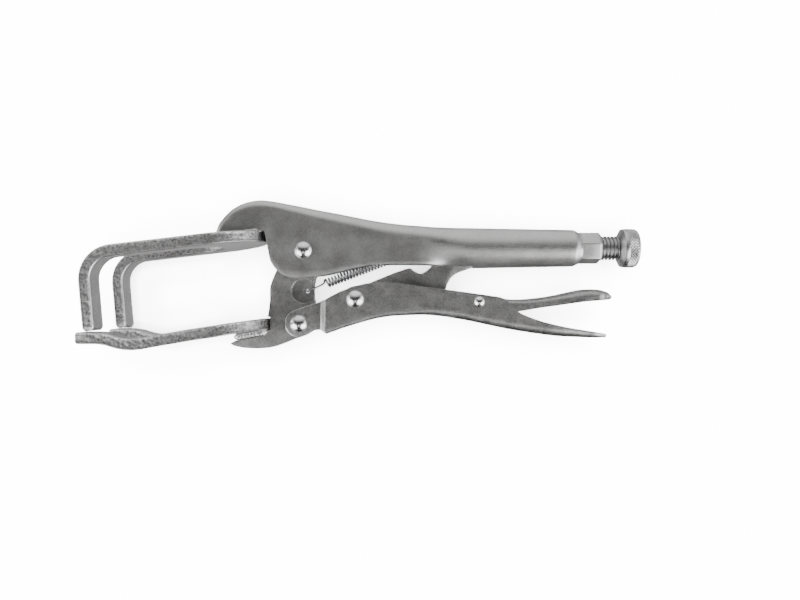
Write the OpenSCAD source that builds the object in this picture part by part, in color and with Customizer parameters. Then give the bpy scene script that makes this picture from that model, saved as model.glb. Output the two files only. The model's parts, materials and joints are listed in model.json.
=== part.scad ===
// Locking welding clamp: toggle pliers whose two jaws end in U-shaped forks.
// The tool lies on its side. +X runs from the forks to the adjusting knob, +Y from the lower
// handle to the upper handle, and +Z along the pivots. Shapes are drawn around the main pivot,
// and tool() moves them so that the origin is under the middle of the whole tool.

/* [Forks] */
// Width over both arms of a fork
fork_w = 43; // [41:0.5:45]
// Width of the slot between the arms
slot_w = 23; // [21:0.5:24]
// Thickness of the fork plate
fork_t = 4.6; // [4.2:0.1:4.7]
// Outer radius of the bend at the top of each prong
bend_r = 13.5; // [11:0.5:15]

/* [Handles] */
// Thickness of the pressed steel of both handles
sheet = 2.2; // [1.8:0.1:2.3]
// Width of the upper handle's channel
channel_w = 15; // [15:0.1:15.6]
// Outer radius of the upper handle's tube where it begins
tube_r = 8.4; // [8.2:0.1:8.6]
// Outer radius of the tube at the nut
tube_end_r = 7.6; // [7.4:0.1:7.8]
// Width of the lower handle's body
lower_w = 17.2; // [17:0.1:17.6]

/* [Jaw and link] */
// Thickness of the lower jaw
jaw_t = 9; // [8:0.1:9.2]
// Thickness of the toggle link
link_t = 6; // [5:0.1:6.4]

/* [Adjusting screw] */
// Outer diameter of the thread
screw_d = 10; // [9:0.1:10]
// Pitch of the thread
pitch = 1.5; // [1.25:0.25:1.5]
// Diameter of the knurled knob
knob_d = 16.2; // [15:0.1:17]

/* [Pins] */
// Diameter of the shanks of the three large rivets
rivet_d = 5; // [4:0.1:5.2]
// Diameter of their domed heads
rivet_head_d = 7; // [6.6:0.1:7.4]
// Diameter of the release lever's rivet
small_rivet_d = 2.6; // [2:0.1:2.8]
// Radial clearance of a running fit
fit = 0.05; // [0.02:0.01:0.08]
// Radial gap between a rivet's shank and the plate it is fixed in
seat = 0.02; // [0.01:0.01:0.03]

/* [Hidden] */
$fn = 48;

// pivots, seen from +Z
B = [-1.9, -29.7];      // lower jaw to lower handle
C = [21.1, -19.8];      // lower handle to toggle link
E = [71.2, -20.8];      // release lever
axis_y = 1.2;           // height of the adjusting screw's axis

// ends of the whole tool
x_min = -86.3;
x_max = 137;
y_min = -40;
y_max = 20.6;

// forks
fork_root_x = -16;      // closed end of the upper fork
fork_root_y = 8;        // its upper face there
fork_slope = 6.6;         // fall of the upper fork towards its prongs
prong_lean = 5;       // lean of the prongs from square
prong_corner = [-86, -0.1];
prong_tip_y = -32.2;
pad_y = -32.65;         // upper face of the lower fork's pads
lower_root_x = -14;

// handles
channel_in = channel_w / 2 - sheet;
tube_start = 62;
shoulder_x = 67;         // widest place of the tube
tube_end = 110.5;
tube_in_r = tube_end_r - 2;
lower_in = lower_w / 2 - sheet;
ear_in = jaw_t / 2 + 0.3;
ear_out = ear_in + 2;
joggle_x = 7;

// screw
nose_x = 68.4;
nut_x = 112;
nut_end_x = 122;
nut_r = 6.6;
knob_x = 129.2;
thread_depth = 0.8;
nose_joint_x = 74;

// spring, from the hook on the jaw to the tab in the upper handle
hook_hole = [1.1, -16.5];
spring_from = [9, -13.3];
spring_to = [44, 0.1];
tab_at = [49.5, 2.2];
spring_r = 2.1;
wire_r = 0.4;

// ---------- helpers ----------
function catmull(a, b, c, d, t) = 0.5 * (2 * b + (c - a) * t + (2 * a - 5 * b + 4 * c - d) * t * t
                                  + (3 * b - a - 3 * c + d) * t * t * t);
// smooth curve through the points of an open line
function curve(p, steps = 4) = let (n = len(p)) concat(
    [for (i = [0:n - 2], k = [0:steps - 1])
        catmull(p[max(i - 1, 0)], p[i], p[i + 1], p[min(i + 2, n - 1)], k / steps)], [p[n - 1]]);
function arc(centre, r, from, to, steps = 10) =
    [for (i = [0:steps]) let (a = from + (to - from) * i / steps) centre + r * [cos(a), sin(a)]];
function heading(a) = [cos(a), sin(a)];

module tool() translate([-(x_min + x_max) / 2, -(y_min + y_max) / 2, fork_w / 2]) children();
module plate(points, half) translate([0, 0, -half]) linear_extrude(2 * half) polygon(points);
module across(at, r, half) translate([at[0], at[1], -half]) cylinder(r = r, h = 2 * half);
module both_sides() { children(); mirror([0, 0, 1]) children(); }
// cylinder along +X on the screw's axis
module rod(x, r, length) translate([x, axis_y, 0]) rotate([0, 90, 0]) cylinder(r = r, h = length);
// solid turned about the screw's axis, from points [x, radius]
module turned(points) translate([0, axis_y, 0]) rotate([0, 90, 0]) rotate_extrude()
    polygon([for (p = points) [p[1], p[0]]]);
// solid rod between two points of the mid-plane
module bar(from, to, r) translate([from[0], from[1], 0])
    rotate([0, 0, atan2(to[1] - from[1], to[0] - from[0])]) rotate([0, 90, 0])
    cylinder(r = r, h = norm(to - from), $fn = 24);

// rivet with two domed heads over a stack of the given half thickness
module rivet(at, d, head_d, half) {
    head_r = head_d / 2;
    head_h = head_d * 0.26;
    dome_r = (head_r * head_r + head_h * head_h) / (2 * head_h);
    dome = arc([0, half + head_h - dome_r], dome_r, acos(head_r / dome_r), 90);
    upper = concat([[d / 2, half]], dome);
    lower = [for (i = [len(upper) - 1:-1:0]) [upper[i][0], -upper[i][1]]];
    color("gainsboro") translate([at[0], at[1], 0]) rotate_extrude() polygon(concat(lower, upper));
}

// plan of a fork, seen from +Y: a U with its closed end at x = root
module fork_plan(root, bridge, tip) {
    outer = fork_w / 2;
    slot = slot_w / 2;
    translate([0, 50, 0]) rotate([90, 0, 0]) linear_extrude(100) difference() {
        union() {
            translate([root - outer, 0]) circle(r = outer);
            translate([tip, -outer]) square([root - outer - tip, fork_w]);
        }
        translate([root - bridge - slot, 0]) circle(r = slot);
        translate([tip - 1, -slot]) square([root - bridge - slot - tip + 1, slot_w]);
    }
}

// ---------- upper handle and what is fixed to it ----------
handle_top = curve([[-35.9, 7.4], [-34.6, 10.7], [-33.3, 12.6], [-30.1, 16.1], [-26.4, 18.4],
    [-22.3, 20], [-17.4, y_max], [-13.2, 20.2], [-6.3, 19], [4, 17], [14.4, 15.1], [25.1, 13],
    [37.5, 11.1], [48.3, 10.3], [56, 10], [tube_start, 9.85], [72, axis_y + tube_r]]);
handle_bottom = concat([[72, axis_y], [66, -3.5]],
    curve([[57, -6.5], [53.5, -6.2], [50, -5.5], [40, -5.5], [28.3, -5.6], [21.8, -7], [10.7, -9.5],
        [4.7, -10.4], [-0.8, -10.9], [-6.5, -10.9], [-10.3, -8.4], [-13.1, -4.7], [-14.3, 0.4],
        [-14.9, 5.2], [-15.4, 8.15]]),
    [[fork_root_x - 1.4, fork_root_y - 1.4 * tan(fork_slope)],
     [-35.6, fork_root_y - 19.6 * tan(fork_slope)]]);

module upper_handle() color("silver") tool() difference() {
    union() {
        plate(concat(handle_top, handle_bottom), channel_w / 2);
        turned([[tube_start, 0], [tube_start, tube_end_r], [shoulder_x, tube_r],
            [tube_end, tube_end_r], [tube_end + 2.5, nut_r], [tube_end + 2.5, 0]]);
    }
    // inside of the channel, open downwards, ending under the tab that holds the spring
    plate(concat([for (p = handle_top) if (p[0] < 46) p - [-1.5, sheet]],
        [[46, -20], [-50, -20], [-50, 7]]), channel_in);
    plate([[45.9, -20], [45.9, 0.5], [52, 0.5], [52, 6.8], [75, 6.8], [75, -20]], channel_in);
    rod(60, tube_in_r, 60);
    across([0, 0], rivet_d / 2 + seat, 10);
}

module screw_nut() color("gainsboro") tool() difference() {
    union() {
        rod(nut_x - 12, tube_in_r - 0.02, 14);
        translate([tube_end + 2.5, axis_y, 0]) rotate([0, 90, 0]) rotate([0, 0, 15])
            cylinder(r = nut_r, h = nut_end_x - tube_end - 3.1, $fn = 6);
        turned([[nut_end_x - 0.8, 0], [nut_end_x - 0.8, nut_r - 0.9], [nut_end_x, nut_r - 1.4],
            [nut_end_x, 0]]);
    }
    rod(90, screw_d / 2 + fit, 40);
}

// foot of a prong's face that leaves the bend at p
function prong_tip(p) = [p[0] + (p[1] - prong_tip_y) * tan(prong_lean), prong_tip_y];

// the plate's upper face falls from the root to the bend, then the prong hangs down
module upper_fork() color("darkgray") tool() {
    arm_a = 180 + fork_slope;
    prong_a = 270 + prong_lean;
    reach = bend_r * tan((prong_a - arm_a) / 2);
    centre = prong_corner - reach * heading(arm_a) + bend_r * heading(arm_a + 90);
    drop = fork_t / cos(fork_slope);
    intersection() {
        plate(concat([[fork_root_x, fork_root_y]], arc(centre, bend_r, arm_a - 90, prong_a - 90),
            [for (r = [bend_r, bend_r - fork_t])
                prong_tip(centre + r * heading(prong_a - 90))],
            arc(centre, bend_r - fork_t, prong_a - 90, arm_a - 90),
            [[fork_root_x, fork_root_y - drop]]), fork_w / 2);
        fork_plan(fork_root_x, 19, -95);
    }
}

// beads along both sides of the beak, where the plate meets it
module upper_fork_welds() color("dimgray") tool() both_sides()
    difference() {
        translate([-33, fork_root_y - 17 * tan(fork_slope), channel_w / 2])
            rotate([0, 0, fork_slope]) rotate([0, 90, 0]) cylinder(r = 1.5, h = 15.5, $fn = 24);
        plate([[-40, fork_root_y - 24 * tan(fork_slope)], [-10, fork_root_y + 6 * tan(fork_slope)],
            [-10, 0], [-40, -5]], 20);
        translate([-50, -5, -1]) cube([50, 30, channel_w / 2 + 1]);
    }

module main_pivot_rivet() tool() rivet([0, 0], rivet_d, rivet_head_d, channel_w / 2);

// ---------- lower jaw ----------
jaw_head_r = 8.4;
jaw_outline = concat(arc([0, 0], jaw_head_r, -20, 200, 20),
    curve([[-11.5, -8.7], [-13.7, -14.5], [-13.9, -20.2], [-14.6, -25.9], [-15, -27]]),
    [[lower_root_x + 0.2, -27.2], [lower_root_x + 0.2, -32.5], [-20, -33.1]],
    curve([[-22, -34], [-24, -35.4], [-27.3, -36.6], [-29.8, -37.7], [-29.6, -38.3], [-28.1, -39],
        [-24, -39.8], [-18.8, y_min], [-14.2, -39.7], [-9.7, -38.6], [-4.2, -36.3]]),
    arc(B, 5.6, -80, 30), [[3.9, -24], [3.9, -12]]);

module lower_jaw() color("darkgray") tool() difference() {
    plate(jaw_outline, jaw_t / 2);
    across([0, 0], rivet_d / 2 + fit, 10);
    across(B, rivet_d / 2 + fit, 10);
    across(hook_hole, 0.9, 10);
    both_sides() translate([-0.2, -16.5, 1.4]) cylinder(r = 5.1, h = 10);
    both_sides() translate([3, -20, 1.4]) cube([5, 7, 10]);
}

lower_fork_top = concat(curve([[lower_root_x, -27.6], [-20, -28.2], [-27, -29.1], [-34, -30.2],
    [-42, -31.4], [-49, -32.6], [-55, -33.6], [-61, -34.7], [-65.5, -35], [-70, -34.4],
    [-74, -33.2], [-78, pad_y]]), [[x_min, pad_y]]);

module lower_fork() color("darkgray") tool() intersection() {
    plate(concat(lower_fork_top, [for (i = [len(lower_fork_top) - 1:-1:0])
        lower_fork_top[i] - [0, fork_t]]), fork_w / 2);
    fork_plan(lower_root_x, 19, -95);
}

// beads between the fork's underside and the toe of the jaw
module lower_fork_welds() color("dimgray") tool() both_sides() difference() {
    translate([-27.5, -35.4, jaw_t / 2]) rotate([0, 0, 10.9]) rotate([0, 90, 0])
        cylinder(r = 1.9, h = 12.7, $fn = 24);
    plate(concat([for (p = lower_fork_top) p - [0, fork_t + seat]],
        [[x_min, 0], [lower_root_x + 2, 0], [lower_root_x + 2, -31.8]]), 20);
    plate(jaw_outline, jaw_t / 2);
}

// ---------- lower handle and what rides in it ----------
lower_top = curve([[joggle_x, -20.8], [9, -19.9], [16.7, -16.1], [21.9, -14.2], [27.8, -13.1],
    [35.2, -13.2], [49.4, -14.9], [64.9, -16.9], [79.4, -19], [83, -21.2], [86.6, -24.6],
    [95.5, -28.5], [108.7, -31.5], [122, -33.7]]);
lower_bottom = curve([[123.4, -35.5], [113, -35.4], [103, -34.9], [88.2, -32.9], [74.3, -30.2],
    [63.5, -28], [50.5, -26.3], [37.8, -26.6], [27.5, -28.2], [17.3, -31.2], [9, -34.1]]);
ear_outline = concat([[10, -19.4], [3.9, -21.8], [-0.5, -23.3], [-4.2, -24.7]],
    arc(B, 5.5, 115, 300), [[3.5, -32.7], [6.4, -31.9], [10, -32.4]]);

module lower_handle() color("silver") tool() difference() {
    union() {
        difference() {
            plate(concat(lower_top, lower_bottom, [[joggle_x, -32.6]]), lower_w / 2);
            // trough, open upwards
            plate(concat([[joggle_x - 1, -31]], [for (i = [len(lower_bottom) - 1:-1:6])
                lower_bottom[i] + [0.4, sheet]], [[121, 0], [joggle_x - 1, 0]]), lower_in);
        }
        both_sides() translate([0, 0, ear_in]) linear_extrude(ear_out - ear_in)
            polygon(ear_outline);
    }
    across(B, rivet_d / 2 + seat, 10);
    across(C, rivet_d / 2 + seat, 10);
    across(E, small_rivet_d / 2 + seat, 10);
}

module handle_pivot_rivet() tool() rivet(B, rivet_d, rivet_head_d, ear_out);
module toggle_pivot_rivet() tool() rivet(C, rivet_d, rivet_head_d, lower_w / 2);
module release_lever_rivet() tool() rivet(E, small_rivet_d, 4.2, lower_w / 2);

// link with two scallops on its upper edge and a broad heel under the screw's nose
link_outline = concat(arc(C, 5.5, 110, 290, 16),
    curve([[30, -24.2], [40, -22.4], [50, -21.6], [56.6, -20.6], [57.9, -18.6], [58.2, -15],
        [60, -11.4], [62.8, -9.2], [66.5, -7.8], [69, -6.9]]),
    [[68.4, -5.4]], curve([[66.2, -3.4], [65.2, -1], [64.9, 2.2]]), [[60.5, 2.6]],
    curve([[57, -0.6], [51.7, -6.7], [49, -8.9], [47.3, -9.3], [44.9, -8.2], [43.2, -7.1],
        [39, -8.3], [35.1, -9.7], [25.5, -13.6]]));

module toggle_link() color("gray") tool() difference() {
    plate(link_outline, link_t / 2);
    across(C, rivet_d / 2 + fit, 10);
}

// inverted channel: the web is the thumb surface and the flanges carry the pivot
lever_top = curve([[61, -18.9], [68, -18.3], [75.7, -18.5], [83, -19.8], [89.1, -19.9],
    [96, -19.3], [102.5, -18.3], [109.4, -16.8], [114.2, -15.9], [119.5, -15.8], [123.5, -16.5],
    [126, -17.8], [127, -18.9]]);
lever_bottom = curve([[126.4, -19.8], [123, -20.3], [112.6, -21.2], [106.1, -22.2], [99.2, -23.2],
    [92.5, -24], [87.1, -24.9], [80, -25.4], [72, -25], [66, -22.4], [61, -20.8]]);
lever_half = lower_in - 0.6;
lever_t = 1.6;

module release_lever() color("silver") tool() difference() {
    plate(concat(lever_top, lever_bottom), lever_half);
    plate(concat([[60, -30], [64, -20.6]], [for (p = lever_top) if (p[0] > 64 && p[0] < 120)
        p - [0, lever_t]], [[121, -30]]), lever_half - lever_t);
    across(E, small_rivet_d / 2 + fit, 10);
}

// ---------- spring ----------
module jaw_spring() color("dimgray") tool() {
    difference() {
        bar(spring_from, spring_to, spring_r);
        bar(spring_from + 0.8 * heading(21), spring_to - 0.8 * heading(21), spring_r - 2 * wire_r);
    }
    bar(hook_hole + [3.9, 1.5], spring_from + 0.5 * heading(21), wire_r);
    bar(spring_to - 0.5 * heading(21), [45.6, 0.7], wire_r);
}

// ---------- adjusting screw ----------
module screw_nose() color("gray") tool() {
    turned([[nose_x, 0], [nose_x, 2.4], [nose_x + 1, 3.4], [nose_joint_x - 0.05, 3.4],
        [nose_joint_x - 0.05, 2], [nose_joint_x + 4, 2], [nose_joint_x + 4, 0]]);
}

module adjusting_screw() color("gray") tool() {
    thread_x = 94;
    turns = floor((knob_x - thread_x) / pitch);
    r = screw_d / 2;
    turned(concat([[nose_joint_x, 2 + fit], [nose_joint_x, r - thread_depth]],
        [for (i = [0:turns - 1], k = [0:2]) [thread_x + (i + [0.1, 0.5, 0.9][k]) * pitch,
            [r - thread_depth, r, r - thread_depth][k]]],
        [[knob_x, r - thread_depth], [knob_x, 0], [nose_joint_x + 4.1, 0],
         [nose_joint_x + 4.1, 2 + fit]]));
}

module adjusting_knob() color("silver") tool() {
    r = knob_d / 2;
    turned(concat([[knob_x, 0], [knob_x, r - 2.4]],
        curve([[knob_x + 0.5, r - 1.3], [knob_x + 1.4, r - 0.3], [knob_x + 2.4, r]]),
        curve([[x_max - 2, r], [x_max - 0.7, r - 0.6], [x_max, r - 2]]), [[x_max, 0]]));
}

upper_handle();
screw_nut();
upper_fork();
upper_fork_welds();
main_pivot_rivet();
lower_jaw();
lower_fork();
lower_fork_welds();
lower_handle();
handle_pivot_rivet();
toggle_pivot_rivet();
release_lever_rivet();
toggle_link();
release_lever();
jaw_spring();
screw_nose();
adjusting_screw();
adjusting_knob();
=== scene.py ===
import json
import math

import bmesh
import bpy
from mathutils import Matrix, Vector, noise


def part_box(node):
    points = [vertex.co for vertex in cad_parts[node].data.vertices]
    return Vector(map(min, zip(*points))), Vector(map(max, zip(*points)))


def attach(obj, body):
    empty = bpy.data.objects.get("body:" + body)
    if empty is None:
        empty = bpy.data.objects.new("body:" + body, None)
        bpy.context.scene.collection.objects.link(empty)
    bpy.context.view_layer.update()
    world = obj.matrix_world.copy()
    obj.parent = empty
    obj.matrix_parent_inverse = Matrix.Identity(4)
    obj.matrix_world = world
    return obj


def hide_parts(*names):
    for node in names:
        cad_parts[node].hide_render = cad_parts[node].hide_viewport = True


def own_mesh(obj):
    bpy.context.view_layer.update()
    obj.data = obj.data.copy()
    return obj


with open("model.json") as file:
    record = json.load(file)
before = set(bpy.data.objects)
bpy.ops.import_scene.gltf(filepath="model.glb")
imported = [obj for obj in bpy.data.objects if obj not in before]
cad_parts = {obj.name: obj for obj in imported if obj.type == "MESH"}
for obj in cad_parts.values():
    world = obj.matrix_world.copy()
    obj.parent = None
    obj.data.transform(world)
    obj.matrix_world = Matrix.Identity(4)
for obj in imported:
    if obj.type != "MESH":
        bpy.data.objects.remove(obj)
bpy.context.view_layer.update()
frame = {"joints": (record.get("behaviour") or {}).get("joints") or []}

MM = 0.001
JOINTS = {joint["name"]: joint for joint in frame["joints"]}


# ---------- places ----------
# Shapes are drawn in millimetres around the main pivot, in the tool's middle plane.
PIVOT = Vector(JOINTS["jaw_pivot"]["pos_m"])


def pivot_at(joint):
    """A joint's place as (x, y) in millimetres from the main pivot."""
    offset = (Vector(JOINTS[joint]["pos_m"]) - PIVOT) / MM
    return offset.x, offset.y


def half_depth(node):
    """Half of a CAD node's size along the pivots, in millimetres."""
    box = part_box(node)
    return (box[1][2] - box[0][2]) / 2 / MM


# the pivots of the jaw (A), lower handle (B), toggle link (C) and release lever (E)
A = (0.0, 0.0)
B = pivot_at("handle_pivot")
C = pivot_at("toggle_pivot")
E = pivot_at("release_pivot")
AXIS_Y = pivot_at("screw_spin")[1]
KNOB_END = (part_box("adjusting_knob")[1][0] - PIVOT.x) / MM
PAD_END = (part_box("lower_fork")[0][0] - PIVOT.x) / MM
FORK_HALF = half_depth("upper_fork")
# height of a large rivet's head in the CAD; the visual head is a little lower
CAD_HEAD = 1.82


def place(x, y, z=0.0):
    return PIVOT + Vector((x, y, z)) * MM


# ---------- curves ----------
def lerp(a, b, t):
    return a + (b - a) * t


def smooth(t):
    t = min(max(t, 0.0), 1.0)
    return t * t * (3 - 2 * t)


def ramp(x, table):
    """Value at x of a smooth line through (x, value) pairs."""
    if x <= table[0][0]:
        return table[0][1]
    for (x0, v0), (x1, v1) in zip(table, table[1:]):
        if x <= x1:
            return lerp(v0, v1, smooth((x - x0) / (x1 - x0)))
    return table[-1][1]


def curve(points, steps=6):
    """Smooth line through the points, with steps stretches between each two."""
    pts = [Vector(p) for p in points]
    out = []
    for i in range(len(pts) - 1):
        a, b = pts[max(i - 1, 0)], pts[i]
        c, d = pts[i + 1], pts[min(i + 2, len(pts) - 1)]
        for k in range(steps):
            t = k / steps
            out.append(0.5 * (2 * b + (c - a) * t + (2 * a - 5 * b + 4 * c - d) * t ** 2
                              + (3 * b - a - 3 * c + d) * t ** 3))
    return out + [pts[-1]]


def arc(centre, radius, start, end, steps=12):
    """Points of an arc in degrees."""
    angles = [math.radians(lerp(start, end, i / steps)) for i in range(steps + 1)]
    return [Vector((centre[0] + radius * math.cos(a), centre[1] + radius * math.sin(a)))
            for a in angles]


def around(count):
    """Evenly spaced angles of one whole turn."""
    return [2 * math.pi * i / count for i in range(count)]


def resample(points, spacing):
    """The same line with evenly spaced points."""
    pts = [Vector(p) for p in points]
    lengths = [0.0]
    for p, q in zip(pts, pts[1:]):
        lengths.append(lengths[-1] + (q - p).length)
    count = max(2, round(lengths[-1] / spacing))
    out, k = [], 0
    for i in range(count + 1):
        s = lengths[-1] * i / count
        while k < len(pts) - 2 and lengths[k + 1] < s:
            k += 1
        span = max(lengths[k + 1] - lengths[k], 1e-9)
        out.append(pts[k].lerp(pts[k + 1], min(max((s - lengths[k]) / span, 0), 1)))
    return out


# ---------- materials ----------
class Nodes:
    """Short way to write a material's nodes."""

    def __init__(self, name):
        self.material = bpy.data.materials.new(name)
        self.material.use_nodes = True
        self.tree = self.material.node_tree
        self.shader = self.tree.nodes["Principled BSDF"]
        self.coords = self.tree.nodes.new("ShaderNodeTexCoord").outputs["Object"]

    def add(self, kind, **inputs):
        node = self.tree.nodes.new(kind)
        for key, value in inputs.items():
            self.put(node.inputs[key.replace("_", " ")], value)
        return node

    def put(self, socket, value):
        if isinstance(value, bpy.types.NodeSocket):
            self.tree.links.new(value, socket)
        else:
            socket.default_value = value

    def grain(self, size_mm, detail=4.0, rough=0.6, stretch=(1, 1, 1)):
        """Noise from 0 to 1 whose features are about size_mm across."""
        scaled = self.add("ShaderNodeMapping", Vector=self.coords, Scale=stretch)
        node = self.add("ShaderNodeTexNoise", Vector=scaled.outputs["Vector"],
                        Scale=1 / (size_mm * MM), Detail=detail, Roughness=rough)
        return node.outputs["Fac"]

    def pits(self, size_mm):
        node = self.add("ShaderNodeTexVoronoi", Vector=self.coords, Scale=1 / (size_mm * MM))
        return node.outputs["Distance"]

    def span(self, value, low, high, start=0.3, end=0.7):
        """Maps start..end of a value to low..high."""
        node = self.add("ShaderNodeMapRange", Value=value)
        for socket, number in zip(node.inputs[1:5], (start, end, low, high)):
            socket.default_value = number
        return node.outputs["Result"]

    def maths(self, operation, a, b):
        node = self.tree.nodes.new("ShaderNodeMath")
        node.operation = operation
        self.put(node.inputs[0], a)
        self.put(node.inputs[1], b)
        return node.outputs[0]

    def tint(self, value, dark, light):
        node = self.tree.nodes.new("ShaderNodeMix")
        node.data_type = "RGBA"
        self.put(node.inputs["Factor"], value)
        self.put(node.inputs["A"], (*dark, 1))
        self.put(node.inputs["B"], (*light, 1))
        return node.outputs["Result"]

    def bump(self, height, depth_mm, normal=None):
        node = self.add("ShaderNodeBump", Height=height, Strength=1.0, Distance=depth_mm * MM)
        if normal is not None:
            self.put(node.inputs["Normal"], normal)
        return node.outputs["Normal"]

    def finish(self, colour, roughness, normal=None, metallic=1.0):
        self.put(self.shader.inputs["Base Color"], colour)
        self.put(self.shader.inputs["Roughness"], roughness)
        self.put(self.shader.inputs["Metallic"], metallic)
        if normal is not None:
            self.put(self.shader.inputs["Normal"], normal)
        return self.material


def grey(level, warm=0.0):
    return (level * (1 + warm), level, level * (1 - warm))


def plated_steel(name, dark, light, rough, blotch=5.0, grain=0.45, depth=0.012):
    """Satin nickel over pressed or forged steel: fine mottle over slow blotches."""
    m = Nodes(name)
    blotches = m.span(m.grain(blotch, 3.0), -0.5, 0.5)
    mottle = m.span(m.grain(grain, 5.0, 0.7), -0.5, 0.5)
    specks = m.span(m.pits(0.9), -0.2, 0.2, 0.1, 0.6)
    mixed = m.maths("ADD", m.maths("MULTIPLY", blotches, 0.55), m.maths("ADD", mottle, specks))
    colour = m.tint(m.span(mixed, 0.0, 1.0, -0.6, 0.6), grey(dark, 0.006), grey(light, 0.006))
    roughness = m.span(mixed, rough - 0.07, rough + 0.08, -0.6, 0.6)
    fine = m.bump(m.grain(grain, 5.0, 0.7), depth)
    return m.finish(colour, roughness, m.bump(m.grain(blotch * 0.6, 2.0), depth * 3, fine))


def sheared_edge(name, dark, light, rough=0.42):
    """Rough cut edge of thick plate, plated over: coarse dimples and tears."""
    m = Nodes(name)
    tears = m.grain(1.3, 6.0, 0.75)
    pits = m.pits(1.1)
    mixed = m.maths("ADD", m.span(tears, -0.5, 0.5), m.span(pits, -0.35, 0.35, 0.1, 0.7))
    colour = m.tint(m.span(mixed, 0.0, 1.0, -0.6, 0.6), grey(dark), grey(light))
    roughness = m.span(mixed, rough + 0.12, rough - 0.12, -0.6, 0.6)
    rugged = m.bump(tears, 0.12)
    return m.finish(colour, roughness, m.bump(pits, 0.09, rugged))


def bright_metal(name, level, rough, scratch=0.004):
    """Bright plate with faint scratches and a little haze."""
    m = Nodes(name)
    haze = m.grain(1.2, 4.0)
    hairs = m.grain(0.35, 3.0, 0.7, (1, 6, 1))
    colour = m.tint(m.span(haze, 0.0, 1.0), grey(level * 0.86), grey(level))
    return m.finish(colour, m.span(hairs, rough, rough + 0.12), m.bump(hairs, scratch))


SHELL = plated_steel("satin_nickel_shell", dark=0.42, light=0.56, rough=0.37,
                     blotch=7.0, grain=0.5, depth=0.006)
LOWER_SHELL = plated_steel("satin_nickel_lower_shell", dark=0.28, light=0.48, rough=0.38,
                           blotch=5.0, grain=0.7, depth=0.012)
FORGING = plated_steel("nickel_forging", dark=0.30, light=0.46, rough=0.38,
                       blotch=5.0, grain=0.6, depth=0.009)
# painted highlight: the rounded edges of the jaw, toggle link and ears get a near-white colour that stands
# for the light they catch
PAINTED_EDGE_HIGHLIGHT = bright_metal("nickel_edge_painted_highlight", 0.88, 0.22)
FORK_FACE = plated_steel("nickel_fork_face", dark=0.46, light=0.62, rough=0.34,
                         blotch=6.0, grain=0.8, depth=0.01)
FORK_EDGE = sheared_edge("nickel_fork_edge", 0.10, 0.50, 0.44)
RIVET = bright_metal("bright_rivet", 0.86, 0.13, 0.002)
WELD = sheared_edge("weld_bead", 0.30, 0.62, 0.34)
WIRE = bright_metal("spring_wire", 0.34, 0.30)
THREAD = bright_metal("thread_steel", 0.44, 0.26)
KNURL = bright_metal("knurled_nickel", 0.56, 0.28)


# ---------- meshes ----------
def add_object(name, bm, materials, sharp=34.0):
    """A piece from a bmesh, smooth shaded with sharp edges kept."""
    bmesh.ops.remove_doubles(bm, verts=bm.verts, dist=1e-7)
    bmesh.ops.recalc_face_normals(bm, faces=bm.faces)
    mesh = bpy.data.meshes.new(name)
    bm.to_mesh(mesh)
    bm.free()
    for polygon in mesh.polygons:
        polygon.use_smooth = True
    mesh.set_sharp_from_angle(angle=math.radians(sharp))
    for material in materials:
        mesh.materials.append(material)
    obj = bpy.data.objects.new(name, mesh)
    bpy.context.scene.collection.objects.link(obj)
    return obj


def add_rings(bm, rings, cap=True, closed=False, material_of=None):
    """Faces between rings of points. Each ring is closed; closed joins the last to the first."""
    made = [[bm.verts.new(p) for p in ring] for ring in rings]
    size = len(made[0])
    pairs = list(zip(made, made[1:]))
    if closed:
        pairs.append((made[-1], made[0]))
    for r, (low, high) in enumerate(pairs):
        for i in range(size):
            j = (i + 1) % size
            face = bm.faces.new((low[i], low[j], high[j], high[i]))
            if material_of:
                face.material_index = material_of(r, i)
    if cap and not closed:
        for ring in (made[0], made[-1]):
            face = bm.faces.new(ring)
            if material_of:
                face.material_index = material_of(0, 0)
    return made


def turned(name, profile, centre, direction, materials, segments=64, radial=None):
    """A turned piece: profile points (along, radius) in millimetres."""
    along = Vector(direction).normalized()
    side = along.orthogonal().normalized()
    other = along.cross(side)
    bm = bmesh.new()
    rings = []
    for a, r in profile:
        ring = []
        for angle in around(segments):
            reach = r if radial is None else radial(a, r, angle)
            spoke = side * math.cos(angle) + other * math.sin(angle)
            ring.append(centre + (along * a + spoke * reach) * MM)
        rings.append(ring)
    add_rings(bm, rings)
    return add_object(name, bm, materials)


def bevel(obj, width_mm, segments=3, angle=35.0, material=-1):
    """Rounds the sharp edges of a piece, for good."""
    step = obj.modifiers.new("round", "BEVEL")
    step.width = width_mm * MM
    step.segments = segments
    step.limit_method = "ANGLE"
    step.angle_limit = math.radians(angle)
    step.material = material
    step.harden_normals = False
    apply_all(obj)
    for polygon in obj.data.polygons:
        polygon.use_smooth = True
    obj.data.set_sharp_from_angle(angle=math.radians(40))


def apply_all(obj):
    """Puts the modifiers' result in the mesh."""
    graph = bpy.context.evaluated_depsgraph_get()
    mesh = bpy.data.meshes.new_from_object(obj.evaluated_get(graph), depsgraph=graph)
    obj.modifiers.clear()
    obj.data = mesh


def cut(obj, *tools):
    """Cuts the tools out of a piece, and removes them."""
    for tool in tools:
        step = obj.modifiers.new("cut", "BOOLEAN")
        step.operation = "DIFFERENCE"
        step.solver = "EXACT"
        step.object = tool
    apply_all(obj)
    for tool in tools:
        bpy.data.objects.remove(tool)


def prism(name, outline, low, high, materials):
    """Flat plate of an outline between two heights."""
    bm = bmesh.new()
    rings = [[place(p[0], p[1], z) for p in outline] for z in (low, high)]
    add_rings(bm, rings)
    return add_object(name, bm, materials)


def disc_tool(at, radius, low, high, segments=48):
    return prism("tool", arc(at, radius, 0, 360 - 360 / segments, segments - 1), low, high, [])


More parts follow.
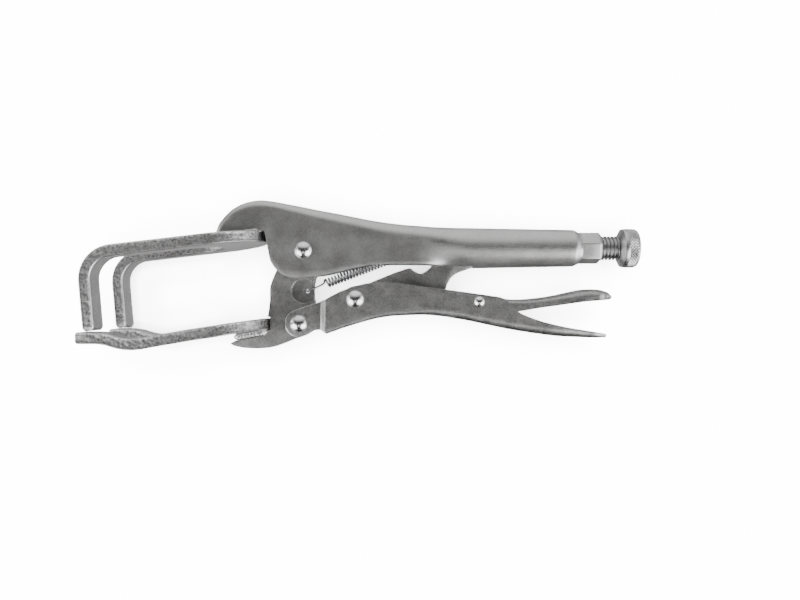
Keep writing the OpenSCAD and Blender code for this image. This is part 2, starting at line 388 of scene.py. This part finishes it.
def sweep(bm, line, radii, sides, lean):
    """A round bar along a line of 3-D points in millimetres. lean is a direction it never takes."""
    rings = []
    for i, (p, radius) in enumerate(zip(line, radii)):
        ahead = (line[min(i + 1, len(line) - 1)] - line[max(i - 1, 0)]).normalized()
        side = ahead.cross(Vector(lean)).normalized()
        up = side.cross(ahead)
        rings.append([place(*(p + (side * math.cos(a) + up * math.sin(a)) * radius))
                      for a in around(sides)])
    add_rings(bm, rings)


def put(obj, body, slot, *nodes):
    """Ties a piece to its body, and hides the CAD nodes it stands for. The slot argument is not used."""
    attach(obj, body)
    if nodes:
        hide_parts(*nodes)


# ---------- pressed channels ----------
CORNER_STEPS = 7
SIDE_STEPS = 8


def channel_ring(top, bottom, inward, half, spine, thick):
    """One closed section of a pressed channel, from one lip over the back to the other.

    top is the middle of the back, bottom the lips, and inward points from the back into the
    channel. Returns points (x, y, z)."""
    depth = max((bottom - top).length, 0.2)
    thick = min(thick, 0.42 * depth, 0.45 * half)
    spine = min(spine, 0.8 * depth)
    inner = max(spine - thick, 0.25)
    outer_path = half_section(top, bottom, inward, half, spine)
    inner_path = half_section(top + inward * thick, bottom, inward, half - thick, inner)
    mirror = [(p, -z) for p, z in reversed(outer_path[1:])]
    inner_mirror = [(p, -z) for p, z in inner_path[1:]]
    loop = mirror + outer_path + list(reversed(inner_path)) + inner_mirror
    return [(p.x, p.y, z) for p, z in loop]


def half_section(top, bottom, inward, half, radius):
    """Points (place, z) from the middle of the back round the corner and down to the lip."""
    width = min(radius * 1.25, half)
    path = [(top, 0.0), (top, (half - width) * 0.5)]
    for i in range(CORNER_STEPS + 1):
        a = 0.5 * math.pi * i / CORNER_STEPS
        path.append((top + inward * radius * (1 - math.cos(a)), half - width + width * math.sin(a)))
    corner = top + inward * radius
    for i in range(1, SIDE_STEPS + 1):
        path.append((corner.lerp(bottom, i / SIDE_STEPS), half))
    return path


def channel(name, tops, bottoms, half_of, spine_of, thick, materials, reshape=None):
    """A pressed channel lofted between its back line and its lip line, of equal counts."""
    bm = bmesh.new()
    rings = []
    for i, (top, bottom) in enumerate(zip(tops, bottoms)):
        ahead = tops[min(i + 1, len(tops) - 1)] - tops[max(i - 1, 0)]
        inward = Vector((-ahead.y, ahead.x)).normalized()
        if inward.dot(bottom - top) < 0:
            inward.negate()
        ring = channel_ring(top, bottom, inward, half_of(top.x), spine_of(top.x), thick)
        if reshape:
            ring = reshape(top.x, ring)
        rings.append([place(*p) for p in ring])
    add_rings(bm, rings)
    return add_object(name, bm, materials)


# ---------- upper handle ----------
CHANNEL_HALF = half_depth("main_pivot_rivet") - CAD_HEAD
SHEET = 2.2
LIP_Y = -5.5
# the channel rolls in to a tube between these places
ROLL_START = 46
ROLL_END = 72
# the tube is widest at its shoulder, and its outline is drawn as a straight taper from its start
SHOULDER_X = 67
TUBE_START = 78
TUBE_END = 110.3
NECK_LENGTH = 3.2
TUBE_R = half_depth("upper_handle")
TUBE_END_R = 7.6
NECK_SHARE = 0.83


def tube_radius(x):
    """The tube tapers from its widest place to the nut."""
    share = (x - SHOULDER_X) / (TUBE_END - SHOULDER_X)
    return lerp(TUBE_R, TUBE_END_R, min(max(share, 0.0), 1.0))


def upper_handle():
    # back line and lip line are drawn as pairs: beak, front edge of the head, and grip
    beak = [((-36.1, 5.5), (-33, 5.85)), ((-35.7, 8), (-31.6, 6.05)), ((-34.4, 11), (-29.8, 6.3)),
            ((-32, 14.1), (-27.2, 6.6)), ((-29, 16.9), (-24.6, 6.95)), ((-25.4, 18.9), (-21.8, 7.3)),
            ((-21.6, 20.1), (-18.4, 7.7)), ((-17.4, 20.6), (-15.6, 7.8))]
    head = [((-17.4, 20.6), (-15.6, 7.8)), ((-14, 20.3), (-14.9, 4.2)), ((-10.5, 19.75), (-14.2, 0.2)),
            ((-7, 19.1), (-13, -4.7)), ((-3, 18.35), (-10.2, -8.5)), ((1, 17.6), (-6.5, -10.6)),
            ((5, 16.8), (-0.8, -11)), ((10, 15.9), (4.7, -10.4)), ((16, 14.8), (10.7, -9.5)),
            ((25.1, 13), (21.8, -7)), ((31, 12), (28.3, -5.8)), ((40, 10.9), (38, LIP_Y)),
            ((48.3, 10.3), (48.3, LIP_Y)), ((55, 10), (55, LIP_Y)), ((62, 9.85), (62, LIP_Y)),
            ((70, 9.6), (70, LIP_Y)),
            ((TUBE_START, AXIS_Y + tube_radius(TUBE_START)), (TUBE_START, LIP_Y))]
    tops, bottoms = [], []
    for part in (beak, head):
        tops += curve([p for p, _ in part])[(0 if not tops else 1):]
        bottoms += curve([q for _, q in part])[(0 if not bottoms else 1):]
    tube = [lerp(TUBE_START, TUBE_END, i / 16) for i in range(1, 17)]
    neck = [TUBE_END + NECK_LENGTH * i / 8 for i in range(1, 9)]
    for x in tube + neck:
        tops.append(Vector((x, AXIS_Y + tube_radius(x))))
        bottoms.append(Vector((x, LIP_Y)))

    def rolled(x, ring):
        """Rolls the channel's sides in to the closed tube behind the grip, and necks its end."""
        share = smooth((x - ROLL_START) / (ROLL_END - ROLL_START))
        if share <= 0:
            return ring
        shrink = lerp(1.0, NECK_SHARE, smooth((x - TUBE_END) / NECK_LENGTH))
        return [blend_point(p, q, share) for p, q in zip(ring, tube_ring(x, len(ring), shrink))]

    obj = channel("upper_handle_shell", tops, bottoms,
                  lambda x: CHANNEL_HALF,
                  lambda x: ramp(x, [(-37, 2.6), (-16, 3.0), (20, 4.4), (50, 5.2)]),
                  SHEET, [SHELL], rolled)
    bevel(obj, 0.25, 2, 50)
    put(obj, "frame", "satin_nickel_shell", "upper_handle")


def blend_point(p, q, share):
    return tuple(lerp(a, b, share) for a, b in zip(p, q))


def tube_ring(x, size, shrink):
    """Section of the rolled tube with the same point order as a channel section."""
    half = size // 2
    seam = 3.0
    outer = tube_radius(x) * shrink
    ring = []
    for i in range(half):
        angle = math.radians(lerp(-180 + seam, 180 - seam, i / (half - 1)))
        ring.append((x, AXIS_Y + outer * math.cos(angle), outer * math.sin(angle)))
    inner = outer - SHEET
    for i in range(size - half):
        angle = math.radians(lerp(180 - seam, -180 + seam, i / (size - half - 1)))
        ring.append((x, AXIS_Y + inner * math.cos(angle), inner * math.sin(angle)))
    return ring


def screw_nut():
    """Hexagonal collar of the nut in the handle's end, with rounded corners and a lip."""
    start, end = 112.6, 121.9
    flat, corner, bore = 5.75, 6.55, 5.05

    def hexagon(angle, size):
        turn = (angle - math.radians(15)) % (math.pi / 3) - math.pi / 6
        return min(flat / math.cos(turn), corner) * size

    profile = [(start, 0.98), (start + 0.6, 1.0), (end - 1.4, 1.0), (end - 0.9, 0.985),
               (end - 0.5, 0.93), (end, 0.84)]
    bm = bmesh.new()
    rings = []
    for x, size in profile:
        rings.append([place(x, AXIS_Y + hexagon(a, size) * math.cos(a), hexagon(a, size) * math.sin(a))
                      for a in around(96)])
    for x in (end, start):
        rings.append([place(x, AXIS_Y + bore * math.cos(a), bore * math.sin(a))
                      for a in around(96)])
    add_rings(bm, rings, closed=True)
    obj = add_object("nut_collar", bm, [SHELL])
    put(obj, "frame", "satin_nickel_shell", "screw_nut")


# ---------- forks ----------
FORK_T = 4.6
SLOT_HALF = 11.5
# length of the closed end, before the slot starts
BRIDGE = 19.0
# how many degrees the upper fork's arms fall towards their prongs
FORK_FALL = 6.6
PAD_Y = -32.65


def fork(name, centre_line, body, node, seed):
    """A U-shaped plate bent along centre_line, from its closed end to the tips of its arms."""
    line = resample(centre_line, 0.8)
    length = sum((q - p).length for p, q in zip(line, line[1:]))

    def sheet_point(s, z, lift):
        k = min(max(s / length, 0.0), 1.0) * (len(line) - 1)
        i = min(int(k), len(line) - 2)
        ahead = line[min(i + 2, len(line) - 1)] - line[max(i - 1, 0)]
        normal = Vector((ahead.y, -ahead.x)).normalized()
        p = line[i].lerp(line[i + 1], k - i) + normal * lift
        return Vector((p.x, p.y, z))

    # edge stations: near arm from its tip, round the closed end, and out along the far arm
    inner_turn = BRIDGE + SLOT_HALF
    join = inner_turn + 6
    arm = [((s, FORK_HALF), (s, SLOT_HALF)) for s in
           (lerp(length, join, i / 90) for i in range(90))]
    arm += [((lerp(join, FORK_HALF, i / 10), FORK_HALF), (lerp(join, inner_turn, i / 10), SLOT_HALF))
            for i in range(10)]
    turn = [((FORK_HALF * (1 - math.sin(a)), FORK_HALF * math.cos(a)),
             (inner_turn - SLOT_HALF * math.sin(a), SLOT_HALF * math.cos(a)))
            for a in (math.pi * i / 60 for i in range(61))]
    back = [((so, -zo), (si, -zi)) for (so, zo), (si, zi) in reversed(arm)]
    stations = arm + turn + back

    corner, half = 0.75, FORK_T / 2
    # the plate shrinks by its corner over the last stations, so that its tips are rounded
    tucks = (0.0, 0.45, 0.7, corner)
    rings = []
    for index, (outer, inner) in enumerate(stations):
        o, i = Vector(outer), Vector(inner)
        width = (i - o).length
        ends = min(index, len(stations) - 1 - index)
        section = fork_section(width, half, corner, corner - tucks[min(ends, 3)])
        ring = []
        for across, lift, rough in section:
            at = o.lerp(i, across / width)
            p = sheet_point(at.x, at.y, lift)
            if rough:
                wave = noise.noise(p * 0.9 + Vector((seed, 0, 0))) + 0.5 * noise.noise(p * 2.3)
                away = (o - i).normalized() * (1 if across < width / 2 else -1)
                shift = away * (0.14 * wave - 0.22)
                p = sheet_point(at.x + shift.x, at.y + shift.y, lift)
            ring.append(place(p.x, p.y, p.z))
        rings.append(ring)
    kinds = [rough for _, _, rough in fork_section(10, half, corner, 0)]
    bm = bmesh.new()
    add_rings(bm, rings, material_of=lambda r, i: 1 if kinds[i] or kinds[(i + 1) % len(kinds)] else 0)
    obj = add_object(name, bm, [FORK_FACE, FORK_EDGE], 50)
    put(obj, body, "nickel_fork", node)


def fork_section(width, half, corner, shrink):
    """Closed section of the plate: (distance from the outer edge, height, is it a cut edge)."""
    low, high, top = shrink, width - shrink, half - shrink
    in_low, in_high, in_top = low + corner, high - corner, top - corner
    # each side's two ends, then the centre and first angle of the rounded corner after it
    sides = [((low, -in_top), (low, in_top), (in_low, in_top), 180),
             ((in_low, top), (in_high, top), (in_high, in_top), 90),
             ((high, in_top), (high, -in_top), (in_high, -in_top), 0),
             ((in_high, -top), (in_low, -top), (in_low, -in_top), -90)]
    points = []
    for number, (start, end, centre, first) in enumerate(sides):
        is_cut = number % 2 == 0
        for k in range(7):
            points.append((lerp(start[0], end[0], k / 6), lerp(start[1], end[1], k / 6), is_cut))
        for k in range(1, 4):
            a = math.radians(first - 90 * k / 4)
            points.append((centre[0] + corner * math.cos(a), centre[1] + corner * math.sin(a), False))
    return points


def upper_fork():
    slope, lean, outer_r = FORK_FALL, 5.0, 13.5
    corner = Vector((-86, -0.1))
    tip_y = -32.2
    arm, prong = math.radians(180 + slope), math.radians(270 + lean)
    ahead = Vector((math.cos(arm), math.sin(arm)))
    inside = Vector((-math.sin(arm), math.cos(arm)))
    reach = outer_r * math.tan((prong - arm) / 2)
    centre = corner - ahead * reach + inside * outer_r
    root = Vector((-16, 8)) + inside * FORK_T / 2
    bend = arc(centre, outer_r - FORK_T / 2, 90 + slope, 180 + lean, 16)
    down = Vector((math.cos(prong), math.sin(prong)))
    tip = bend[-1] + down * ((tip_y - bend[-1].y) / down.y)
    fork("upper_fork_plate", [root] + bend + [tip], "frame", "upper_fork", 3.0)


def lower_fork():
    top = curve([(-14, -27.6), (-20, -28.2), (-27, -29.1), (-34, -30.2), (-42, -31.4), (-49, -32.6),
                 (-55, -33.6), (-61, -34.7), (-65.5, -35), (-70, -34.4), (-74, -33.2), (-78, PAD_Y)])
    top.append(Vector((PAD_END, PAD_Y)))
    fork("lower_fork_plate", [p - Vector((0, FORK_T / 2)) for p in top], "jaw", "lower_fork", 11.0)


def bead(bm, path, radius, seed):
    """A weld bead: a rounded ridge with overlapping ripples, tapered at both ends."""
    spacing, ripple_length = 0.22, 1.3
    line = resample(path, spacing)
    radii = []
    for i, p in enumerate(line):
        t = i / (len(line) - 1)
        taper = min(1.0, 6.5 * t + 0.25, 6.5 * (1 - t) + 0.25)
        ripple = 1 + 0.09 * abs(math.sin(i * spacing * math.pi / ripple_length))
        wobble = 1 + 0.12 * noise.noise(p * 0.45 + Vector((seed, 0, 0)))
        radii.append(radius * taper * ripple * wobble)
    sweep(bm, line, radii, 20, (0, 0, 1))


def welds():
    bm = bmesh.new()
    fall = math.tan(math.radians(FORK_FALL))
    for sign in (1, -1):
        bead(bm, [Vector((x, 8.0 + (x + 16) * fall, sign * (CHANNEL_HALF - 1.0)))
                  for x in (-33.5, -30, -25, -20, -17)], 1.35, 5 + sign)
    put(add_object("beak_weld_beads", bm, [WELD]), "frame", "weld_bead", "upper_fork_welds")
    bm = bmesh.new()
    for sign in (1, -1):
        bead(bm, [Vector((x, y, sign * 4.4)) for x, y in
                  ((-28.5, -35.5), (-25, -34.9), (-20, -34), (-15, -33))], 1.6, 15 + sign)
    put(add_object("toe_weld_beads", bm, [WELD]), "jaw", "weld_bead", "lower_fork_welds")


# ---------- lower jaw and toggle link ----------
JAW_HALF = half_depth("lower_jaw")
LINK_HALF = half_depth("toggle_link")


def lower_jaw():
    outline = arc(A, 8.4, -20, 200, 30)
    outline += curve([(-11.5, -8.7), (-13.7, -14.5), (-13.9, -20.2), (-14.6, -25.9), (-15, -27)])
    outline += [Vector((-13.8, -27.2)), Vector((-13.8, -32.5)), Vector((-20, -33.1))]
    outline += curve([(-22, -34), (-24, -35.4), (-27.3, -36.6), (-29.8, -37.7), (-29.6, -38.3),
                      (-28.1, -39), (-24, -39.8), (-18.8, -39.98), (-14.2, -39.7), (-9.7, -38.6),
                      (-4.2, -36.3)])
    outline += arc(B, 5.6, -80, 30, 14) + [Vector((3.9, -24)), Vector((3.9, -12))]
    obj = prism("lower_jaw_plate", outline, -JAW_HALF, JAW_HALF, [FORGING, PAINTED_EDGE_HIGHLIGHT])
    hook = (1.1, -16.5)
    pocket = (-0.2, -16.5)
    slot = [(3, -19.8), (6, -19.8), (6, -13.2), (3, -13.2)]
    cut(obj, *[disc_tool(pocket, 5.1, *span) for span in ((1.6, 9), (-9, -1.6))],
        *[prism("tool", slot, *span, []) for span in ((1.6, 9), (-9, -1.6))],
        disc_tool(hook, 0.9, -9, 9, 24))
    # the rounded edges take slot 1, the painted edge highlight
    bevel(obj, 0.7, 4, 40, 1)
    put(obj, "jaw", "nickel_forging", "lower_jaw")


def toggle_link():
    outline = arc(C, 5.5, 110, 290, 20)
    outline += curve([(30, -24.2), (40, -22.4), (50, -21.6), (56.6, -20.6), (57.9, -18.6),
                      (58.2, -15), (60, -11.4), (62.8, -9.2), (66.5, -7.8), (69, -6.9)])
    outline += [Vector((68.4, -5.4))] + curve([(66.2, -3.4), (65.2, -1), (64.9, 2.2)])
    outline += [Vector((60.5, 2.6))]
    outline += curve([(57, -0.6), (51.7, -6.7), (49, -8.9), (47.3, -9.3), (44.9, -8.2),
                      (43.2, -7.1), (39, -8.3), (35.1, -9.7), (25.5, -13.6)])
    obj = prism("toggle_link_plate", outline, -LINK_HALF, LINK_HALF, [FORGING, PAINTED_EDGE_HIGHLIGHT])
    # the rounded edges take slot 1, the painted edge highlight
    bevel(obj, 0.3, 2, 40, 1)
    put(obj, "link", "nickel_forging", "toggle_link")


# ---------- lower handle ----------
LOWER_HALF = half_depth("lower_handle")
EAR_OUT = half_depth("handle_pivot_rivet") - CAD_HEAD
EAR_IN = EAR_OUT - 2.0
# where the ears step out to the handle's sides
JOGGLE = (7.2, 9.3)


def lower_handle():
    pairs = [((JOGGLE[1], -34), (JOGGLE[1], -19.8)), ((13, -32.7), (13, -17.8)),
             ((17.3, -31.2), (17, -16)), ((27.5, -28.2), (24.5, -13.7)), ((33, -27.1), (31, -13)),
             ((37.8, -26.6), (37, -13.3)), ((50.5, -26.3), (49.4, -14.9)), ((63.5, -28), (64.9, -16.9)),
             ((74.3, -30.2), (75.5, -18.4)), ((79, -31.2), (80.5, -19.4)), ((83, -32), (84, -22.2)),
             ((88.2, -32.9), (88, -25.6)), ((95.5, -34), (95.5, -28.5)), ((103, -34.9), (103, -30.4)),
             ((110, -35.3), (110, -31.8)), ((117, -35.5), (117, -32.9)), ((123.2, -35.5), (122.8, -33.9))]
    tops = curve([p for p, _ in pairs])
    bottoms = curve([q for _, q in pairs])
    obj = channel("lower_handle_shell", tops, bottoms,
                  lambda x: ramp(x, [(100, LOWER_HALF), (118, LOWER_HALF - 1), (123.4, 5.2)]),
                  lambda x: ramp(x, [(9, 1.3), (40, 1.6), (62, 2.6), (100, 3.0)]),
                  SHEET, [LOWER_SHELL])
    bevel(obj, 0.25, 2, 50)
    put(obj, "lower_grip", "satin_nickel_shell", "lower_handle")
    for name, sign in (("near", 1), ("far", -1)):
        handle_ear(name, sign)


def handle_ear(name, sign):
    """Ear that holds the jaw: a flat plate with a round end, stepped out to the handle's side."""
    outline = [Vector((JOGGLE[0], -20.8)), Vector((3.9, -21.8)), Vector((-0.5, -23.3)),
               Vector((-4.2, -24.7))]
    outline += arc(B, 5.5, 115, 300, 24) + [Vector((3.5, -32.7)), Vector((JOGGLE[0], -32.2))]
    low, high = sorted((sign * EAR_IN, sign * EAR_OUT))
    ear = prism(f"lower_handle_ear_{name}", outline, low, high, [LOWER_SHELL, PAINTED_EDGE_HIGHLIGHT])
    # the rounded edges take slot 1, the painted edge highlight
    bevel(ear, 0.85, 4, 40, 1)
    put(ear, "lower_grip", "satin_nickel_shell")
    bm = bmesh.new()
    rings = []
    for i in range(9):
        t = i / 8
        x = lerp(JOGGLE[0] - 0.3, JOGGLE[1] + 0.2, t)
        out = lerp(0.0, LOWER_HALF - EAR_OUT, smooth(t))
        top, bottom = lerp(-20.8, -19.8, t), lerp(-32.2, -34, t)
        rings.append([place(x, y, sign * z) for y, z in
                      ((bottom, EAR_IN + out), (bottom, EAR_OUT + out),
                       (top, EAR_OUT + out), (top, EAR_IN + out))])
    add_rings(bm, rings)
    step = add_object(f"lower_handle_step_{name}", bm, [LOWER_SHELL])
    bevel(step, 0.2, 2, 60)
    put(step, "lower_grip", "satin_nickel_shell")


def release_lever():
    pairs = [((61, -18.9), (61, -20.8)), ((66, -18.4), (66, -22.4)), ((71, -18.2), (71, -25)),
             ((75.7, -18.5), (76, -25.4)), ((83, -19.8), (84, -25.1)), ((89.1, -19.9), (89.4, -24.6)),
             ((96, -19.3), (96, -23.5)), ((102.5, -18.3), (102.5, -22.6)), ((109.4, -16.8), (109.4, -21.6)),
             ((114.2, -15.9), (114.6, -20.9)), ((119.5, -15.8), (119.5, -20.5)),
             ((123.5, -16.5), (123.3, -20.2)), ((126, -17.8), (125.6, -19.9)),
             ((126.9, -18.9), (126.3, -19.7))]
    tops = curve([p for p, _ in pairs])
    bottoms = curve([q for _, q in pairs])
    obj = channel("release_lever_shell", tops, bottoms,
                  lambda x: ramp(x, [(80, 5.8), (98, 5.2), (114, 6.4), (120, 6.2), (124.5, 4.4),
                                     (126.9, 1.2)]),
                  lambda x: ramp(x, [(70, 1.6), (100, 2.2), (114, 3.0)]),
                  1.6, [LOWER_SHELL])
    bevel(obj, 0.25, 2, 50)
    put(obj, "lever", "satin_nickel_shell", "release_lever")


# ---------- rivets, spring and screw ----------
def rivet(name, at, head_d, half, body, node):
    """Shank and two domed heads, each with a small flat rim."""
    r = head_d / 2
    rise = head_d * 0.25
    cap_r = (r * r + rise * rise) / (2 * rise)
    edge = math.asin(r / cap_r)
    dome = [(rise - cap_r * (1 - math.cos(edge * i / 12)), cap_r * math.sin(edge * i / 12))
            for i in range(13)]
    profile = [(-half - h, max(d, 0.02)) for h, d in dome] + [(-half, r), (-half, r * 0.7)]
    profile += [(-a, d) for a, d in reversed(profile)]
    obj = turned(name, profile, place(*at), (0, 0, 1), [RIVET], 56)
    put(obj, body, "bright_rivet", node)


def rivets():
    rivet("main_rivet", A, 7.0, CHANNEL_HALF, "frame", "main_pivot_rivet")
    rivet("handle_rivet", B, 7.0, EAR_OUT, "lower_grip", "handle_pivot_rivet")
    rivet("toggle_rivet", C, 7.0, LOWER_HALF, "lower_grip", "toggle_pivot_rivet")
    rivet("lever_rivet", E, 4.2, LOWER_HALF, "lower_grip", "release_lever_rivet")


def jaw_spring():
    """Close coil between the jaw's hook hole and the tab inside the upper handle."""
    hook, start, end = Vector((1.1, -16.5, 0)), Vector((9, -13.3, 0)), Vector((44, 0.1, 0))
    tab = Vector((47.6, 1.5, 0))
    along = (end - start).normalized()
    across = Vector((-along.y, along.x, 0))
    up = Vector((0, 0, 1))
    radius, wire, pitch = 1.7, 0.42, 1.35
    turns = (end - start).length / pitch
    steps = int(turns * 20)
    coil = []
    for i in range(steps + 1):
        a = 2 * math.pi * turns * i / steps
        coil.append(start + along * pitch * turns * i / steps
                    + (across * math.cos(a) + up * math.sin(a)) * radius)
    front = [hook + Vector((0.2, 0, -1.2)), hook + Vector((-0.1, 0, 0.6)), hook + Vector((-0.3, 0.1, 2.0)),
             hook + Vector((0.7, 0.3, 2.5)), hook + Vector((3.2, 1.3, 2.2)),
             start + Vector((-1.4, -0.2, 1.0)), coil[0] - along * 0.5 + up * 0.1]
    back = [coil[-1] + along * 0.6, end + along * 1.8 + across * 0.4, tab + up * 0.5,
            tab + along * 1.1 - up * 0.3, tab + along * 0.4 - across * 0.9 - up * 0.4]
    bm = bmesh.new()
    line = curve(front)[:-1] + coil + curve(back, 5)
    sweep(bm, line, [wire] * len(line), 10, (0.3, -0.2, 0.93))
    obj = add_object("jaw_spring_coil", bm, [WIRE])
    put(obj, "frame", "spring_wire", "jaw_spring")
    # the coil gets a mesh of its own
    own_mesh(obj)


def adjusting_screw():
    """Plain shank, then a right-hand thread cut round it as one helix."""
    start, end, pitch, major, minor = 94.0, 129.3, 1.5, 4.95, 4.05
    count = 64
    per_turn = 12
    bm = bmesh.new()
    rings = []
    steps = int((end - start) / pitch * per_turn)
    for i in range(steps + 1):
        x = start + (end - start) * i / steps
        fade = smooth((x - start) / 2.0)
        ring = []
        for k in range(count):
            angle = 2 * math.pi * k / count
            phase = ((x / pitch) - k / count) % 1.0
            tooth = min(1.0, max(0.0, 1.35 - abs(phase - 0.5) * 4.0))
            radius = lerp(minor, major, tooth * fade)
            ring.append(place(x, AXIS_Y + radius * math.cos(angle), radius * math.sin(angle)))
        rings.append(ring)
    shank = ((74.0, 3.9), (74.3, 4.05))
    plain = [[place(x, AXIS_Y + r * math.cos(a), r * math.sin(a)) for a in around(count)]
             for x, r in shank]
    add_rings(bm, plain + rings)
    obj = add_object("screw_thread", bm, [THREAD])
    put(obj, "screw_turn", "screw_steel", "adjusting_screw")
    nose = turned("screw_thrust_nose", [(68.4, 2.2), (68.6, 2.9), (69.3, 3.4), (73.9, 3.4)],
                  place(0, AXIS_Y), (1, 0, 0), [THREAD], 48)
    put(nose, "screw_slide", "screw_steel", "screw_nose")


def adjusting_knob():
    """Turned knob: cone, smooth band, diamond knurl and a rounded end."""
    start, end = 129.2, KNOB_END
    radius = half_depth("adjusting_knob")
    knurl_from, knurl_to, depth, teeth = start + 3.0, end - 1.6, 0.38, 40
    profile = [(start, 4.2), (start, 5.2), (start + 0.25, 5.8)]
    profile += [(start + 0.25 + 1.15 * math.sin(a), radius - 2.0 * (1 - math.sin(a)) - 0.25)
                for a in (0.5 * math.pi * i / 8 for i in range(1, 9))]
    profile += [(start + 2.4, radius - 0.12), (start + 2.75, radius - 0.25)]
    profile += [(lerp(knurl_from, knurl_to, i / 36), radius) for i in range(37)]
    profile += [(end - 1.4 + 1.4 * math.sin(a), radius - 0.2 - 1.7 * (1 - math.cos(a)))
                for a in (0.5 * math.pi * i / 6 for i in range(1, 7))]
    profile += [(end, 3.5), (end, 0.05)]

    def knurled(a, r, angle):
        if not knurl_from - 0.01 <= a <= knurl_to + 0.01:
            return r
        lead = (a - start) / (2 * math.pi * radius / teeth)
        one = abs(((angle / (2 * math.pi) * teeth + lead) % 1.0) * 2 - 1)
        two = abs(((angle / (2 * math.pi) * teeth - lead) % 1.0) * 2 - 1)
        return r - depth * (1 - min(one, two) ** 0.8) * min(1, (a - knurl_from) * 3 + 0.2)

    obj = turned("knob_knurled", profile, place(0, AXIS_Y), (1, 0, 0), [KNURL], teeth * 8, knurled)
    put(obj, "screw_turn", "knurled_nickel", "adjusting_knob")


# ---------- stage ----------
def stage():
    """Pale floor that the metal doesn't mirror, and the lamp that lights it."""
    m = Nodes("studio_floor")
    floor_colour = m.tint(m.grain(60.0, 2.0), (0.92, 0.92, 0.92), (0.95, 0.95, 0.95))
    # flat under the tool, with a far rim that curves up behind it in low views
    profile = [(0.01, 0.0), (1.0, 0.0), (2.0, 0.0)]
    profile += [(2 + 2 * math.sin(a), 2 * (1 - math.cos(a)))
                for a in (math.radians(8 * i) for i in range(1, 11))]
    bm = bmesh.new()
    made = add_rings(bm, [[Vector((r * math.cos(a), r * math.sin(a), z))
                           for a in around(96)]
                          for r, z in profile], cap=False)
    bm.faces.new(made[0])
    floor = add_object("floor", bm, [m.finish(floor_colour, 0.9, metallic=0.0)])
    floor.visible_glossy = False
    floor.visible_shadow = False

    # lights the floor from straight above; the metal mirrors the studio instead
    lamp = bpy.data.lights.new("overhead", "SUN")
    lamp.energy = 45.0
    lamp.angle = math.radians(50)
    light = bpy.data.objects.new("overhead", lamp)
    bpy.context.scene.collection.objects.link(light)
    light.visible_glossy = False


# what the metal mirrors: direction, angle where a glow ends, angle where it is full, strength
GLOWS = [
    ((0, 0, -1), 50, 15, 0.6),
    ((0, 0, 1), 180, 0, 0.055),
    ((0, 1, 0.1), 72, 20, 1.3),
    ((-0.7, -0.52, 0.5), 30, 16, 6.0),
    ((0.7, -0.52, 0.5), 30, 16, 6.0),
    ((-1, -0.1, 0), 40, 15, 3.0),
    ((1, -0.1, 0), 40, 15, 3.0),
    ((0, -0.42, 0.9), 12, 4, 1.5),
]


def studio():
    """A world of soft glows in a dark room, for the metal to mirror."""
    world = bpy.data.worlds.new("studio")
    bpy.context.scene.world = world
    world.use_nodes = True
    tree = world.node_tree
    direction = tree.nodes.new("ShaderNodeTexCoord").outputs["Generated"]

    def lobe(towards, wide, narrow, strength):
        """Glow around a direction, full inside the narrow angle and gone outside the wide one."""
        dot = tree.nodes.new("ShaderNodeVectorMath")
        dot.operation = "DOT_PRODUCT"
        tree.links.new(direction, dot.inputs[0])
        dot.inputs[1].default_value = Vector(towards).normalized()
        fade = tree.nodes.new("ShaderNodeMapRange")
        fade.interpolation_type = "SMOOTHSTEP"
        tree.links.new(dot.outputs["Value"], fade.inputs["Value"])
        limits = (math.cos(math.radians(wide)), math.cos(math.radians(narrow)), 0.0, strength)
        for socket, number in zip(fade.inputs[1:5], limits):
            socket.default_value = number
        return fade.outputs["Result"]

    total = lobe(*GLOWS[0])
    for glow in GLOWS[1:]:
        both = tree.nodes.new("ShaderNodeMath")
        both.operation = "ADD"
        tree.links.new(total, both.inputs[0])
        tree.links.new(lobe(*glow), both.inputs[1])
        total = both.outputs[0]
    tree.links.new(total, tree.nodes["Background"].inputs["Strength"])
    tree.nodes["Background"].inputs["Color"].default_value = (1, 1, 1, 1)


def camera():
    """Straight down on the tool's side, 300 mm above its middle plane."""
    data = bpy.data.cameras.new("camera")
    data.sensor_width = 36.0
    data.lens = 32.6
    data.clip_start = 0.01
    obj = bpy.data.objects.new("camera", data)
    bpy.context.scene.collection.objects.link(obj)
    obj.location = place(39.2, -20.2, 300)
    obj.rotation_euler = (0, 0, 0)
    bpy.context.scene.camera = obj


camera()
stage()
studio()
upper_handle()
screw_nut()
upper_fork()
lower_fork()
welds()
lower_jaw()
toggle_link()
lower_handle()
release_lever()
rivets()
jaw_spring()
adjusting_screw()
adjusting_knob()
